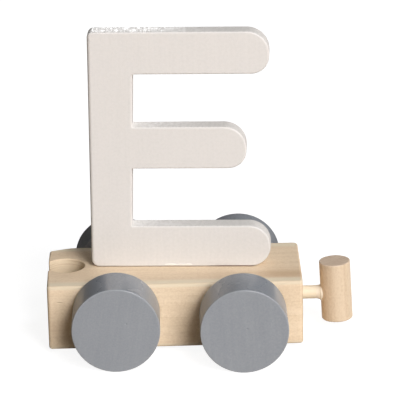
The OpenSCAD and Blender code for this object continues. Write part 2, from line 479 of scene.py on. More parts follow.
def front_nick(nodes, where, half):
    """A small flat nick in the front face, near its left end."""
    from_end, up, flatness = 3.6, 4.7, 4
    reach = (0.2, 1.3)
    skin_depth = (0.2, 0.5)
    x, y, z = nodes.axes(where)
    from_nick = slant(x + half.x - from_end, (z - up) * flatness)
    return nodes.fade(from_nick, *reach) * nodes.fade(y + half.y, *skin_depth)


def block_finish(settings):
    """Sanded light wood: grain along the car, darker end grain, and a brown streak on the deck.

    The long edges are painted paler, partly rubbed wood and partly a painted highlight, with painted shade
    along the very edge, and the drill has scored the socket's wall.
    """
    pith, figure = (-34.0, -52.0), 0.22
    end_share, blush_share, rubbed_highlight_share, edge_shade_share = 0.28, 0.35, 0.9, 0.34
    bored_share, score_share, nick_share = 0.7, 0.4, 0.8
    skin_depth, wall_depth = (0.1, 0.5), (0.1, 0.4)
    rubbed_highlight_reach, rubbed_highlight_drop, edge_shade_reach = (2.0, 4.6), (0.5, 1.3), (0.4, 1.2)
    blush_step, score_step = (0.5, 0.8), (0.5, 0.62)
    dull, fibre_gloss = 0.62, 0.12
    fibre_rise, pore_dip, nick_dip, relief = 0.7, 0.5, 3, 0.05 * MM
    material, nodes = new_nodes("block_wood")
    centre = (BLOCK_LOW + BLOCK_HIGH) / 2
    half = (BLOCK_HIGH - BLOCK_LOW) / 2 / MM
    where = nodes.place(centre)
    dark, fibre, pore = wood_grain(nodes, where, settings.ring, pith, figure)
    x, y, z = nodes.axes(where)
    from_end = half.x - abs(x)
    from_side = half.y - abs(y)
    from_deck = half.z - abs(z)
    end_grain = nodes.fade(from_end, *skin_depth)
    deck = nodes.fade(half.z - z, *skin_depth)
    wood = nodes.mix(settings.light, settings.dark, dark + end_grain * end_share)
    patches = nodes.ramp(nodes.noise(where, *BLOCK_TINT), *blush_step)
    warm = nodes.mix(wood, settings.blush, patches * blush_share)
    streaked = nodes.mix(warm, settings.heart, heart_streak(nodes, where, half) * deck)
    # Pale band along the long edges: partly rubbed wood, partly a painted highlight of a wide rounded edge
    rubbed = nodes.fade(from_side, *rubbed_highlight_reach) * nodes.fade(from_deck, *rubbed_highlight_drop)
    nearest_edge = (from_end + from_side).least(from_end + from_deck).least(from_side + from_deck)
    # The very edge painted darker: painted shade that tones down the lit rounded edge
    painted_edge_shade = nodes.fade(nearest_edge, *edge_shade_reach)
    paled = nodes.mix(streaked, settings.rubbed, rubbed * rubbed_highlight_share)
    edge_shaded = nodes.mix(paled, settings.dark, rubbed * painted_edge_shade * edge_shade_share)
    socket = (Vector(SOCKET["pos_m"]) - centre) / MM
    from_wall = slant(x - socket.x, y - socket.y) - SOCKET["dims"]["r_mm"]
    bored = nodes.fade(from_wall, *wall_depth) * (1 - deck)
    scored = nodes.ramp(nodes.noise(where, *DRILL_SCORE), *score_step)
    walled = nodes.mix(edge_shaded, settings.bored, bored * bored_share)
    opened = nodes.mix(walled, settings.heart, bored * scored * score_share)
    nick = front_nick(nodes, where, half)
    sockets = {
        "Base Color": nodes.mix(opened, settings.light, nick * nick_share),
        "Roughness": dull - fibre * fibre_gloss,
        "Specular IOR Level": 0.3,
    }
    nodes.surface(sockets, fibre * fibre_rise - pore * pore_dip - nick * nick_dip, relief)
    return material


def turned_wood(name, colours, ring, centre, turn, pith, ends):
    """Wood of a dowel: grain along the dowel, rings about a pith line, dull end grain with clear rings."""
    cut_depth = (0.05, 0.3)
    side_figure, end_figure = 0.12, 1.7
    cut_share = 0.5
    dull, fibre_gloss = 0.6, 0.12
    fibre_rise, pore_dip, relief = 0.7, 0.4, 0.04 * MM
    light, dark, cut = colours
    material, nodes = new_nodes(name)
    where = nodes.place(centre, turn)
    x = nodes.axes(where)[0]
    low, high = (end / MM for end in ends)
    from_end = (high - low) / 2 - abs(x - (low + high) / 2)
    end_grain = nodes.fade(from_end, *cut_depth)
    figure = side_figure + end_grain * end_figure
    share, fibre, pore = wood_grain(nodes, where, ring, pith, figure)
    wood = nodes.mix(light, dark, share)
    sockets = {
        "Base Color": nodes.mix(wood, cut, end_grain * cut_share),
        "Roughness": dull - fibre * fibre_gloss,
        "Specular IOR Level": 0.3,
    }
    nodes.surface(sockets, fibre * fibre_rise - pore * pore_dip, relief)
    return material


def letter_finish(settings):
    """Off-white paint on upright grain: faint streaks on the faces, and end grain that shows on the edges.

    The end grain is roughest, with glossy tips, near the stem and high up, and there it is painted near
    white as a painted sheen; away from the stem it is painted a shade darker, as painted shade. Near the
    deck the paint is painted darker as painted shade, and a dark line along the foot is partly a stain and
    partly painted contact shadow.
    """
    rough_sheen_along, rough_sheen_up = (-16, 14), (40, 70)
    tip_step, fleck_step = (0.48, 0.6), (0.4, 0.6)
    low_shade_up, foot_line_up, foot_line_along = (1, 20), (0.2, 0.55), (6, 12)
    plain_share, low_shade_share, fleck_share = 0.1, 0.6, 3
    tip_share, painted_end_shade_share, painted_sheen_share = 0.6, 0.7, 0.5
    streak_share, cloud_share, grit_share = 0.5, 0.15, 1.0
    dull, end_dull, tip_gloss, end_coat, tip_coat = 0.46, 0.15, 0.25, 0.25, 1.2
    streak_rise, grit_rise, relief = 0.2, 0.5, 0.12 * MM
    material, nodes = new_nodes("letter_paint")
    where = nodes.place(LETTER_FOOT, (0, 0, LETTER_TURN))
    along, height = nodes.axes(where)[::2]
    streak = nodes.noise(where, *LETTER_STREAK)
    cloud = nodes.noise(where, *LETTER_CLOUD)
    grit = nodes.noise(where, *LETTER_GRIT)
    end_grain = nodes.attribute("end_grain")
    # Rough end grain near the stem and high up: glossier, and there painted pale as a painted sheen
    rough = nodes.fade(along, *rough_sheen_along) * nodes.ramp(height, *rough_sheen_up, least=0.4)
    tips = nodes.ramp(grit, *tip_step) * end_grain * rough * tip_share
    flecks = nodes.ramp(grit, *fleck_step).swing(1) * end_grain * fleck_share
    # Paint darker low down near the deck: painted shade that offsets the light thrown up by the deck
    painted_low_shade = nodes.fade(height, *low_shade_up) * low_shade_share
    fine = streak.swing(streak_share) + cloud.swing(cloud_share) + grit.swing(grit_share)
    paint = nodes.mix(settings.paint, settings.shade, fine + plain_share + painted_low_shade - flecks)
    # End grain away from the stem painted a shade darker: painted shade where the sheen fades
    shaded = nodes.mix(paint, settings.shade, end_grain * (1 - rough) * painted_end_shade_share)
    # Tips and rough end grain painted towards near white: a painted sheen on the upper edges
    pale = nodes.mix(shaded, settings.bare, tips + end_grain * rough * painted_sheen_share)
    # Dark line along the foot: partly a stain, partly painted contact shadow where the letter meets the deck
    soiled = nodes.fade(height, *foot_line_up) * nodes.ramp(along, *foot_line_along, least=0.5)
    sockets = {
        "Base Color": nodes.mix(pale, settings.soiled, soiled),
        "Roughness": dull + end_grain * end_dull - tips * tip_gloss,
        "Coat Weight": end_grain * rough * end_coat + tips * tip_coat,
        "Coat Roughness": 0.2,
        "Coat IOR": 1.6,
        "Specular IOR Level": 0.35,
    }
    bumps = streak.swing(streak_rise) * (1 - end_grain) + grit * end_grain * grit_rise
    nodes.surface(sockets, bumps, relief)
    return material


def wheel_finish(settings, node, grain_turn, mark_off):
    """Satin grey paint on a sawn disc: faint straight grain, a small mark in the faces, and rim edges
    painted paler, partly as wear and partly as a painted highlight.

    The rim is a little glossier than the faces, most of all where the grain ends in it.
    """
    rim_depth, edge_depth = (0.05, 0.35), (0.1, 0.45)
    end_slope = (0.55, 0.95)
    plain_share, mark_share, worn_highlight_share, worn_highlight_patches = 0.4, 0.6, 0.15, 0.3
    streak_share, cloud_share, grit_share, end_share, end_middle = 0.9, 0.8, 1.3, 0.5, 0.45
    dull, rim_gloss, end_gloss, cloud_dull = 0.42, 0.1, 0.05, 0.05
    streak_rise, rim_smooth, end_rise, mark_dip, relief = 0.4, 0.32, 0.1, 4, 0.02 * MM
    # A wheel's noises start so many times as far from the middle line as it is, so no two are alike
    apart = 3
    material, nodes = new_nodes(node.replace("wheel", "wheel_paint"))
    low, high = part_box(node)
    half = (high - low) / 2 / MM
    turn = (0, grain_turn, 0)
    x, y, z = nodes.axes(nodes.place((low + high) / 2, turn))
    shifted = nodes.place(MIDLINE + (low - MIDLINE) * apart, turn)
    streak = nodes.noise(shifted, *WHEEL_STREAK)
    cloud = nodes.noise(shifted, *WHEEL_CLOUD)
    grit = nodes.noise(shifted, *WHEEL_GRIT)
    radius = slant(x, z)
    from_rim = half.x - radius
    rim = nodes.fade(from_rim, *rim_depth)
    end_grain = rim * nodes.ramp(abs(z) / radius, *end_slope)
    near_face = nodes.fade(half.y - abs(y), *edge_depth)
    # Rim edges painted paler: partly wear, partly a painted highlight along the rounded edge
    worn = nodes.fade(from_rim, *edge_depth) * near_face * (worn_highlight_share + cloud * worn_highlight_patches)
    from_mark = slant(x - mark_off / MM, z - mark_off / MM)
    mark = nodes.fade(from_mark, 0, settings.mark / MM) * near_face
    fine = grit.swing(grit_share) + end_grain * (grit - end_middle) * end_share
    broad = streak.swing(streak_share) + cloud.swing(cloud_share)
    share = broad + fine + plain_share + mark * mark_share
    paint = nodes.mix(settings.paint, settings.shade, share)
    sockets = {
        "Base Color": nodes.mix(paint, settings.worn, worn),
        "Roughness": dull - rim * (rim_gloss + end_grain * end_gloss) + cloud.swing(cloud_dull),
        "Specular IOR Level": 0.5,
    }
    bumps = streak * (streak_rise - rim * rim_smooth) + grit * end_grain * end_rise - mark * mark_dip
    nodes.surface(sockets, bumps, relief)
    return material


def glue_finish(settings):
    """Dried wood glue: pale, smooth and a little glossy, with soft lumps."""
    dull, lump_dull, relief = 0.3, 0.15, 0.08 * MM
    material, nodes = new_nodes("dried_glue")
    lumps = nodes.noise(nodes.place((0, 0, 0)), *GLUE_LUMPS)
    sockets = {
        "Base Color": nodes.mix(settings.glue, settings.glue_shade, lumps),
        "Roughness": dull + lumps * lump_dull,
        "Specular IOR Level": 0.5,
    }
    nodes.surface(sockets, lumps, relief)
    return material


# Shapes


def arc(x, y, radius, start, stop, ease=1.0, last_ease=None):
    """A round stretch of an outline, in degrees: outwards to the left turn, and a hollow to the right.

    The ease is how much softer than plain the edges are at its start, and the last ease the same at
    its end.
    """
    return x, y, radius, math.radians(start), math.radians(stop), ease, last_ease or ease


def trace(arcs, step, least_points=6, finer=4):
    """Points, outward normals and edge ease of a closed outline.

    The outline runs along each arc and straight on to the next. Straight stretches are cut into steps,
    and round ones into finer steps.
    """
    parts = []
    for x, y, radius, start, stop, ease, last_ease in arcs:
        count = max(least_points, math.ceil(abs(stop - start) * radius / (step / finer)))
        turn = np.linspace(start, stop, count)
        ray = np.stack([np.cos(turn), np.sin(turn)], -1)
        side = math.copysign(1, stop - start)
        eases = np.linspace(ease, last_ease, count)
        parts.append(np.column_stack([ray * radius + (x, y), ray * side, eases]))
    rows = np.concatenate(parts)
    reach = np.roll(rows, -1, 0) - rows
    cuts = np.ceil(np.linalg.norm(reach[:, :2], axis=1) / step).astype(int).clip(1)
    owner = np.repeat(np.arange(len(rows)), cuts)
    share = (np.arange(len(owner)) - np.repeat(np.cumsum(cuts) - cuts, cuts)) / cuts[owner]
    rows = rows[owner] + reach[owner] * share[:, None]
    return rows[:, :2], rows[:, 2:4], rows[:, 4]


def softened_prism(outline, low, high, edge, wall_rings=8, edge_rings=6):
    """Rings of a prism with rounded edges.

    A ring is the outline drawn in along its normals. Through the low edge, up the wall and through the
    high edge, the drawing-in is edge times 1 - cos and the height is edge times 1 - sin of a quarter turn.
    Returns each ring's plan, its heights and how far it faces sideways.
    """
    points, normals, ease = outline
    turn = np.linspace(0, QUARTER, edge_rings)[:, None]
    soft = edge * ease
    drawn_in = soft * (1 - np.cos(turn))
    dip = soft * (1 - np.sin(turn))
    share = np.linspace(0, 1, wall_rings + 2)[1:-1, None]
    wall = low + soft + (high - low - 2 * soft) * share
    inset = np.concatenate([drawn_in[::-1], np.zeros_like(wall), drawn_in])
    height = np.concatenate([(low + dip)[::-1], wall, high - dip])
    sideways = np.concatenate([np.cos(turn)[::-1], np.ones((wall_rings, 1)), np.cos(turn)])
    return points - inset[..., None] * normals, height, sideways


def revolved(radius, depth, origin, axis, side, count):
    """Rings of a surface of revolution.

    A point at an angle stands at origin + axis * depth + radius * (side * cos + other side * sin).
    Radius and depth are profiles, one number a ring, or grids with one number a point.
    """
    turn = np.arange(count) * (FULL / count)
    axis = np.array(Vector(axis).normalized())
    side = np.array(side)
    other = np.cross(axis, side)
    spoke = np.cos(turn)[:, None] * side + np.sin(turn)[:, None] * other
    radius = np.asarray(radius).reshape(len(radius), -1, 1)
    depth = np.asarray(depth).reshape(len(depth), -1, 1)
    return np.array(origin) + axis * depth + spoke * radius


def rounded_rim(radius, edge, rings=7):
    """Rings from a face round its rim: radius less edge plus edge * sin, and edge * (1 - cos) down."""
    turn = np.linspace(0, QUARTER, rings)[:, None]
    return radius - edge + edge * np.sin(turn), edge * (1 - np.cos(turn))


def turned(rows, count):
    """Radius and depth grids of a turned profile, whose rows hold one number a ring or one a point."""
    radius, depth = zip(*rows)
    return tuple(np.array([np.broadcast_to(row, count) for row in part]) for part in (radius, depth))


def ripple(count, *waves):
    """Sum of sines round a circle, each given as its number of waves, its size and its phase."""
    turn = np.arange(count) * (FULL / count)
    return sum(size * np.sin(number * turn + phase) for number, size, phase in waves)


def skin(grid, caps):
    """Faces over a grid of rings: quads from ring to ring, closed round, and two caps if asked for."""
    rings, count = grid.shape[:2]
    here = np.arange(count)
    after = np.roll(here, -1)
    start = np.arange(rings - 1)[:, None] * count
    corners = [start + here, start + after, start + after + count, start + here + count]
    faces = np.stack(corners, -1).reshape(-1, 4).tolist()
    if caps:
        faces += [here[::-1].tolist(), (here + (rings - 1) * count).tolist()]
    return faces


def close_mesh(mesh):
    """Welds the poles, turns the faces outwards and keeps corners crisp and flat faces flat.

    Marking the crisp edges makes every face smooth, so the flat faces are set after it.
    """
    shape = bmesh.new()
    shape.from_mesh(mesh)
    bmesh.ops.remove_doubles(shape, verts=shape.verts, dist=WELD)
    bmesh.ops.recalc_face_normals(shape, faces=shape.faces)
    shape.to_mesh(mesh)
    shape.free()
    mesh.set_sharp_from_angle(angle=SHARP)
    sides = np.zeros(len(mesh.polygons), dtype=np.int32)
    mesh.polygons.foreach_get("loop_total", sides)
    mesh.polygons.foreach_set("use_smooth", sides <= FLAT_SIDES)


def new_mesh(name, grids, caps):
    """A closed mesh of one or more grids."""
    mesh = bpy.data.meshes.new(name)
    starts = np.cumsum([0] + [grid.shape[0] * grid.shape[1] for grid in grids])
    faces = [
        [corner + int(start) for corner in face]
        for start, grid in zip(starts, grids)
        for face in skin(grid, caps)
    ]
    mesh.from_pydata(np.concatenate([grid.reshape(-1, 3) for grid in grids]), [], faces)
    close_mesh(mesh)
    return mesh


def new_object(name, data):
    """An object at the origin that shows a mesh, a lamp or a camera."""
    made = bpy.data.objects.new(name, data)
    bpy.context.scene.collection.objects.link(made)
    return made


def cut_holes(piece, grids):
    """Cuts closed plugs out of a piece."""
    plugs = new_mesh("plugs", grids, True)
    cutter = new_object("plugs", plugs)
    change = piece.modifiers.new("holes", "BOOLEAN")
    change.solver = "EXACT"
    change.object = cutter
    solid = piece.data
    cut = bpy.data.meshes.new_from_object(piece.evaluated_get(bpy.context.evaluated_depsgraph_get()))
    piece.modifiers.clear()
    piece.data = cut
    cut.name = piece.name
    bpy.data.objects.remove(cutter)
    bpy.data.meshes.remove(plugs)
    bpy.data.meshes.remove(solid)
    close_mesh(cut)


def plug(start, stop, radius, count=64):
    """A round plug between two points."""
    start, stop = Vector(start), Vector(stop)
    axis = (stop - start).normalized()
    depth = np.array([0, (stop - start).length])
    return revolved(np.full(2, radius), depth, start, axis, axis.orthogonal().normalized(), count)


def dowel_plug(node, below, above):
    """A plug round an upright dowel, which runs on past its foot and its top."""
    low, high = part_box(node)
    x, y = middle(node).xy
    return plug((x, y, low.z - below), (x, y, high.z + above), (high.x - low.x) / 2 + FIT)


def add_piece(name, grids, caps, material, body, holes=()):
    """A finished piece that rides on its body and takes its finish from a slot."""
    piece = new_object(name, new_mesh(name, grids, caps))
    if holes:
        cut_holes(piece, list(holes))
    piece.data.materials.clear()
    piece.data.materials.append(material)
    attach(piece, body)
    return piece


def flat_dowel_radius(node):
    """Radius of a dowel that lies flat, from the height of its box."""
    low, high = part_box(node)
    return (high.z - low.z) / 2


# Pieces


class BuildBlock(bpy.types.Operator):
    """Wooden block with an open socket, and bores for the axles, the dowels and the neck"""

    bl_idname = "letter_car.block"
    bl_label = "Block"

    # Step along the outline, room round an axle, and how far a plug runs on past the block
    step = 2 * MM
    axle_play = 0.1 * MM
    spare = 1 * MM
    # How soft the edges are at each upright corner, against the plain edge
    front_left, front_right, back_right, back_left = 1.0, 0.9, 0.55, 1.0
    # Lengths of the waves in the sanded walls, along X and Y and up each of those two walls
    wave_x, wave_y, wave_up_x, wave_up_y = 9 * MM, 8 * MM, 7 * MM, 11 * MM
    wave_shift = 1

    def outline(self, settings):
        """The block's plan: four corners, and a hole that breaks out of the end between two horns.

        Behind the hole the back bends into a straight slope that ends in a plain corner.
        A horn is a small circle that touches the end and the hole, so its middle is at the height where
        its distance from the hole's middle is the sum of both radii.
        """
        low, high = BLOCK_LOW, BLOCK_HIGH
        corner, back, horn = settings.corner, settings.back_corner, settings.horn
        bend, turn = settings.sanded_bend, settings.sanded_turn
        slope_run = settings.sanded_reach - corner - (bend - corner) * math.sin(turn)
        slope_drop = bend * (1 - math.cos(turn)) + slope_run * math.tan(turn) + corner * math.cos(turn)
        slope = 90 + math.degrees(turn)
        hole = SOCKET["dims"]["r_mm"] * MM
        x, y = SOCKET["pos_m"][:2]
        horn_x = low.x + horn
        horn_rise = math.sqrt((hole + horn) ** 2 - (x - horn_x) ** 2)
        meet = math.degrees(math.atan2(horn_rise, horn_x - x))
        rim = settings.rim / settings.edge
        return [
            arc(low.x + corner, low.y + corner, corner, 180, 270, self.front_left),
            arc(high.x - corner, low.y + corner, corner, 270, 360, self.front_right),
            arc(high.x - back, high.y - back, back, 0, 90, self.back_right),
            arc(low.x + settings.sanded_reach, high.y - bend, bend, 90, slope, self.back_left),
            arc(low.x + corner, high.y - slope_drop, corner, slope, 180, self.back_left),
            arc(horn_x, y + horn_rise, horn, 180, 180 + meet, rim),
            arc(x, y, hole, meet, -meet, rim),
            arc(horn_x, y - horn_rise, horn, 180 - meet, 180, rim),
        ]

    def holes(self):
        """Plugs for the bores: axles right across, dowels down from the deck, the neck in from the end."""
        for node in AXLES:
            centre = middle(node)
            reach = BLOCK_HIGH.y + self.spare
            radius = flat_dowel_radius(node) + self.axle_play
            yield plug((centre.x, -reach, centre.z), (centre.x, reach, centre.z), radius)
        for node in DOWELS:
            yield dowel_plug(node, FIT, 0)
        centre = middle("coupling_neck")
        start = (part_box("coupling_neck")[0].x - FIT, centre.y, centre.z)
        stop = (BLOCK_HIGH.x + self.spare, centre.y, centre.z)
        yield plug(start, stop, flat_dowel_radius("coupling_neck") + FIT)

    def bowed(self, settings, plan, height, sideways, normals):
        """The walls' plan, drawn in by slow waves: two sines, lifted to run from 0 to the bow's depth."""
        x, y = plan[..., 0], plan[..., 1] - MIDLINE.y
        wave = np.sin(x / self.wave_x + height / self.wave_up_x)
        wave = wave + np.sin(y / self.wave_y - height / self.wave_up_y + self.wave_shift)
        return plan - (settings.bow * sideways * (2 + wave) / 4)[..., None] * normals

    def execute(self, context):
        settings = context.scene.letter_car.block
        outline = trace(self.outline(settings), self.step)
        plan, height, sideways = softened_prism(outline, BLOCK_LOW.z, BLOCK_HIGH.z, settings.edge)
        grid = np.dstack([self.bowed(settings, plan, height, sideways, outline[1]), height])
        finish = block_finish(settings)
        piece = add_piece("block", [grid], True, finish, "car", self.holes())
        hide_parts("chassis")
        return {"FINISHED"}


class BuildLetter(bpy.types.Operator):
    """Painted letter on the deck, pinned by two dowels, with glue squeezed out at its foot"""

    bl_idname = "letter_car.letter"
    bl_label = "Letter"

    # Step along the outline, and rings across the letter's edge
    step = 3 * MM
    wall_rings = 3
    # How soft the edges of the stem's back are, against the plain edge
    stem_ease = 1.9
    # The glue bead's rings and sides, its girth with two slow waves, its flatness, sink and lift
    bead_rings, bead_sides = 40, 20
    bead_girth, bead_waves = 0.75, ((9, 0.2, 0), (23, 0.1, 1))
    bead_flatness, bead_sink, bead_lift = 0.6, 0.1 * MM, 1.6

    def outline(self, settings):
        """The letter's front: a stem that leans in and widens upwards, and three arms with round ends.

        The stem's back and inner edge are slanted lines. A circle that touches one has its middle a radius
        times the line's slant away from it, and its arc ends square to the line.
        """
        stroke, nook = settings.stroke, settings.nook
        back = -settings.top_arm / 2
        tall = LETTER_HIGH.z - LETTER_LOW.z
        foot, top = settings.foot_corner, settings.top_corner
        back_lean = settings.stem_lean / tall
        back_slant = math.hypot(1, back_lean)
        back_square = 180 - math.degrees(math.atan(back_lean))
        inner_lean = (settings.stem_lean + settings.stem_top - settings.stem_foot) / tall
        inner_slant = math.hypot(1, inner_lean)
        inner_square = 180 - math.degrees(math.atan(inner_lean))
        arms = (
            (settings.bottom_arm, 0),
            (settings.middle_arm, settings.middle_low),
            (settings.top_arm, tall - stroke),
        )

        def nook_x(height):
            return back + settings.stem_foot + inner_lean * height + nook * inner_slant

        foot_x = back + foot * (back_lean + back_slant)
        arcs = [arc(foot_x, foot, foot, back_square, 270, self.stem_ease, 1.0)]
        for reach, low in arms:
            high = low + stroke
            if low > 0:
                arcs.append(arc(nook_x(low - nook), low - nook, nook, inner_square, 90))
            tip, over = back + reach, settings.arm_corner
            under = settings.arm_under if low > 0 else stroke - over
            arcs.append(arc(tip - under, low + under, under, -90, 0))
            arcs.append(arc(tip - over, high - over, over, 0, 90))
            if high < tall:
                arcs.append(arc(nook_x(high + nook), high + nook, nook, 270, inner_square))
        top_x = back + back_lean * (tall - top) + top * back_slant
        arcs.append(arc(top_x, tall - top, top, 90, back_square, 1.0, self.stem_ease))
        return arcs

    def turn(self):
        """The letter's turn on the deck."""
        return np.array(Matrix.Rotation(LETTER_TURN, 3, "Z"))

    def stand(self, along, across, up):
        """Points of the letter's own frame, turned and moved to its foot on the deck."""
        return np.stack([along, across, up], -1) @ self.turn().T + np.array(LETTER_FOOT)

    def bead(self, settings):
        """Glue bead along the front of the foot: a flattened tube whose girth swells and fades to its ends.

        At a share s of its length the girth is the root of sin(pi s), with two slow waves on it.
        """
        share = np.linspace(0, 1, self.bead_rings)
        turn = np.arange(self.bead_sides) * (FULL / self.bead_sides)
        waves = (size * np.sin(rate * share + phase) for rate, size, phase in self.bead_waves)
        girth = np.sqrt(np.sin(math.pi * share)) * sum(waves, self.bead_girth)
        along = settings.bead_reach * (2 * share - 1) - settings.bead_off
        wide, tall = settings.bead * self.bead_flatness, settings.bead
        across = -settings.thickness / 2 + self.bead_sink + np.outer(girth, np.cos(turn)) * wide
        up = tall * self.bead_lift + np.outer(girth, np.sin(turn)) * tall
        grid = self.stand(np.broadcast_to(along[:, None], up.shape), across, up)
        ends = grid.mean(axis=1, keepdims=True)
        grid[0], grid[-1] = ends[0], ends[-1]
        return grid

    def mark_end_grain(self, mesh, settings, outline):
        """Writes how much each point shows end grain: how far the nearest outline faces up or down.

        It fades to nothing through the softened edges, so that the front and back show none.
        """
        points = np.zeros(len(mesh.vertices) * 3, np.float32)
        mesh.vertices.foreach_get("co", points)
        local = (points.reshape(-1, 3) - np.array(LETTER_FOOT)) @ self.turn()
        gap_along = np.abs(local[:, None, 0] - outline[0][None, :, 0])
        gap_up = np.abs(local[:, None, 2] - outline[0][None, :, 1])
        nearest = np.argmin(gap_along + gap_up, axis=1)
        facing_up = np.abs(outline[1][nearest, 1])
        into_edge = np.abs(local[:, 1]) - settings.thickness / 2 + settings.edge
        inner = 1 - np.clip(into_edge / settings.edge, 0, 1)
        grain = mesh.attributes.new("end_grain", "FLOAT", "POINT")
        grain.data.foreach_set("value", (facing_up * inner).astype(np.float32))

    def execute(self, context):
        settings = context.scene.letter_car.letter
        outline = trace(self.outline(settings), self.step)
        half = settings.thickness / 2
        plan, depth = softened_prism(outline, -half, half, settings.edge, self.wall_rings)[:2]
        grid = self.stand(plan[..., 0], depth, plan[..., 1])
        finish = letter_finish(settings)
        holes = [dowel_plug(node, 0, FIT) for node in DOWELS]
        piece = add_piece(LETTER_PIECE, [grid], True, finish, "car", holes)
        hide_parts("letter")
        self.mark_end_grain(piece.data, settings, outline)
        add_piece("letter_glue", [self.bead(settings)], False, glue_finish(settings), "car")
        return {"FINISHED"}


class BuildWheels(bpy.types.Operator):
    """Four painted discs with softened rims and a blind bore inside"""

    bl_idname = "letter_car.wheels"
    bl_label = "Wheels"

    count = 128
    # Waves in the rim's softness: how many go round, and their size
    rim_waves = ((2, 0.12), (5, 0.12), (9, 0.06))
    # How much further the grain is turned from one wheel to the next, in radians
    grain_step = 0.12

    def profile(self, radius, thickness, bore, seat, edge):
        """Radius and depth of each ring, from the outer face's middle round the rim to the bore's end."""
        out, down = rounded_rim(radius, edge)
        shoulder = radius - edge - SUPPORT
        return turned([
            (0, 0),
            (shoulder, 0),
            *zip(out, down),
            (radius, down[-1] + SUPPORT),
            (radius, thickness - down[-1] - SUPPORT),
            *zip(out[::-1], thickness - down[::-1]),
            (shoulder, thickness),
            (bore + SUPPORT, thickness),
            (bore, thickness - SUPPORT / 2),
            (bore, thickness - seat),
            (0, thickness - seat),
        ], self.count)

    def execute(self, context):
        settings = context.scene.letter_car.wheels
        for number, node in enumerate(WHEELS):
            low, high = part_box(node)
            centre = (low + high) / 2
            outwards = math.copysign(1, centre.y)
            face = Vector((centre.x, high.y if outwards > 0 else low.y, centre.z))
            axle = node.replace("wheel", "axle").replace("_front", "").replace("_back", "")
            axle_low, axle_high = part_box(axle)
            seat = axle_high.y - low.y if outwards > 0 else high.y - axle_low.y
            waves = [(turns, size, place * number) for place, (turns, size) in enumerate(self.rim_waves, 1)]
            edge = settings.edge * (1 + ripple(self.count, *waves))
            radius, depth = self.profile(
                (high.z - low.z) / 2, high.y - low.y, flat_dowel_radius(axle) + FIT, seat + FIT, edge
            )
            grid = revolved(radius, depth, face, (0, -outwards, 0), (1, 0, 0), self.count)
            grain_turn = self.grain_step * (number - (len(WHEELS) - 1) / 2)
            finish = wheel_finish(settings, node, grain_turn, number * settings.mark_step)
            piece = add_piece(node + "_disc", [grid], False, finish, BODY_OF_NODE[node])
            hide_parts(node)
        return {"FINISHED"}


class BuildCoupling(bpy.types.Operator):
    """Coupling peg on its neck, with a fillet of glue where they meet"""

    bl_idname = "letter_car.coupling"
    bl_label = "Coupling"

    count = 96
    # How far the peg's wall lies inside its CAD wall, and the glue outside the neck
    inside = 0.01 * MM
    # Waves in the softness of the peg's ends and in the fillet's swell: how many, their size and phase
    rim_waves = ((2, 0.2, 0.4), (5, 0.12, 1.9))
    fillet_waves = ((1, 0.35, 2.4), (3, 0.2, 0.7))
    # The fillet's rings, its swell against its reach, and how far it runs on into the peg
    fillet_rings, fillet_swell, fillet_root = 9, 0.32, 1.2 * MM
    # The neck's profile: shares of its length, and its girth there against its radius
    neck_share = np.array([0, 0, 0.02, 0.25, 0.5, 0.75, 0.98, 1, 1])
    neck_girth = np.array([0, 0.94, 1, 1, 0.99, 1, 1, 0.94, 0])
    # Where the pith lies beside the grain's middle line, in millimetres
    peg_pith, neck_pith = (3.5, 0.5), (6.0, 9.0)

    def peg(self, settings, spot, axis, radius):
        """The peg: a straight turned wall between two softened ends."""
        edge = settings.peg_edge
        rim = edge * (1 + ripple(self.count, *self.rim_waves))
        out, down = rounded_rim(radius, rim)
        top, foot = settings.peg_above, -settings.peg_below
        profile = turned([
            (0, top),
            (radius - rim - SUPPORT, top),
            *zip(out, top - down),
            (radius, top - 2 * edge),
            (radius, foot + 2 * edge),
            *zip(out[::-1], foot + down[::-1]),
            (radius - rim - SUPPORT, foot),
            (0, foot),
        ], self.count)
        return revolved(*profile, spot, axis, axis.orthogonal().normalized(), self.count)

    def fillet(self, settings, spot, neck, radius):
        """Glue round the neck: its girth falls from the peg's wall as a hollow quarter circle."""
        share = np.linspace(0, 1, self.fillet_rings)[:, None]
        swell = self.fillet_swell * settings.fillet * (1 + ripple(self.count, *self.fillet_waves))
        girth = neck + self.inside + swell * (1 - np.sqrt(1 - share ** 2))
        depth = -radius - settings.fillet * (1 - share) + 0 * swell
        root = np.full((1, self.count), -radius + self.fillet_root)
        girths = np.concatenate([girth[:1] / 2, girth, girth[-1:], girth[-1:] / 2])
        depths = np.concatenate([depth[:1], depth, root, root])
        return revolved(girths, depths, spot, (1, 0, 0), (0, 1, 0), self.count)

    def execute(self, context):
        settings = context.scene.letter_car.coupling
        spot = Vector(PEG["pos_m"])
        axis = -Vector(PEG["axis"]).normalized()
        radius = PEG["dims"]["r_mm"] * MM - self.inside
        low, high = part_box("coupling_neck")
        long, neck = high.x - low.x, flat_dowel_radius("coupling_neck")
        start = Vector((low.x, spot.y, spot.z))
        bore = plug((spot.x - 2 * radius, spot.y, spot.z), (high.x + FIT, spot.y, spot.z), neck + FIT)
        peg_wood = turned_wood(
            "peg_wood", (settings.peg_light, settings.peg_dark, settings.cut), settings.peg_ring, spot,
            (0, PEG_LEAN - QUARTER, 0), self.peg_pith, (-settings.peg_below, settings.peg_above),
        )
        grid = self.peg(settings, spot, axis, radius)
        piece = add_piece("peg", [grid], False, peg_wood, "car", [bore])
        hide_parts("coupling_peg")
        neck_wood = turned_wood(
            "neck_wood", (settings.dowel_light, settings.dowel_dark, settings.cut), settings.neck_ring,
            start, (0, 0, 0), self.neck_pith, (0, long),
        )
        profile = self.neck_girth * neck, self.neck_share * long
        grid = revolved(*profile, start, (1, 0, 0), (0, 1, 0), self.count)
        piece = add_piece("neck", [grid], False, neck_wood, "car")
        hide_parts("coupling_neck")
        grid = self.fillet(settings, spot, neck, radius)
        add_piece("neck_glue", [grid], True, glue_finish(settings), "car")
        return {"FINISHED"}


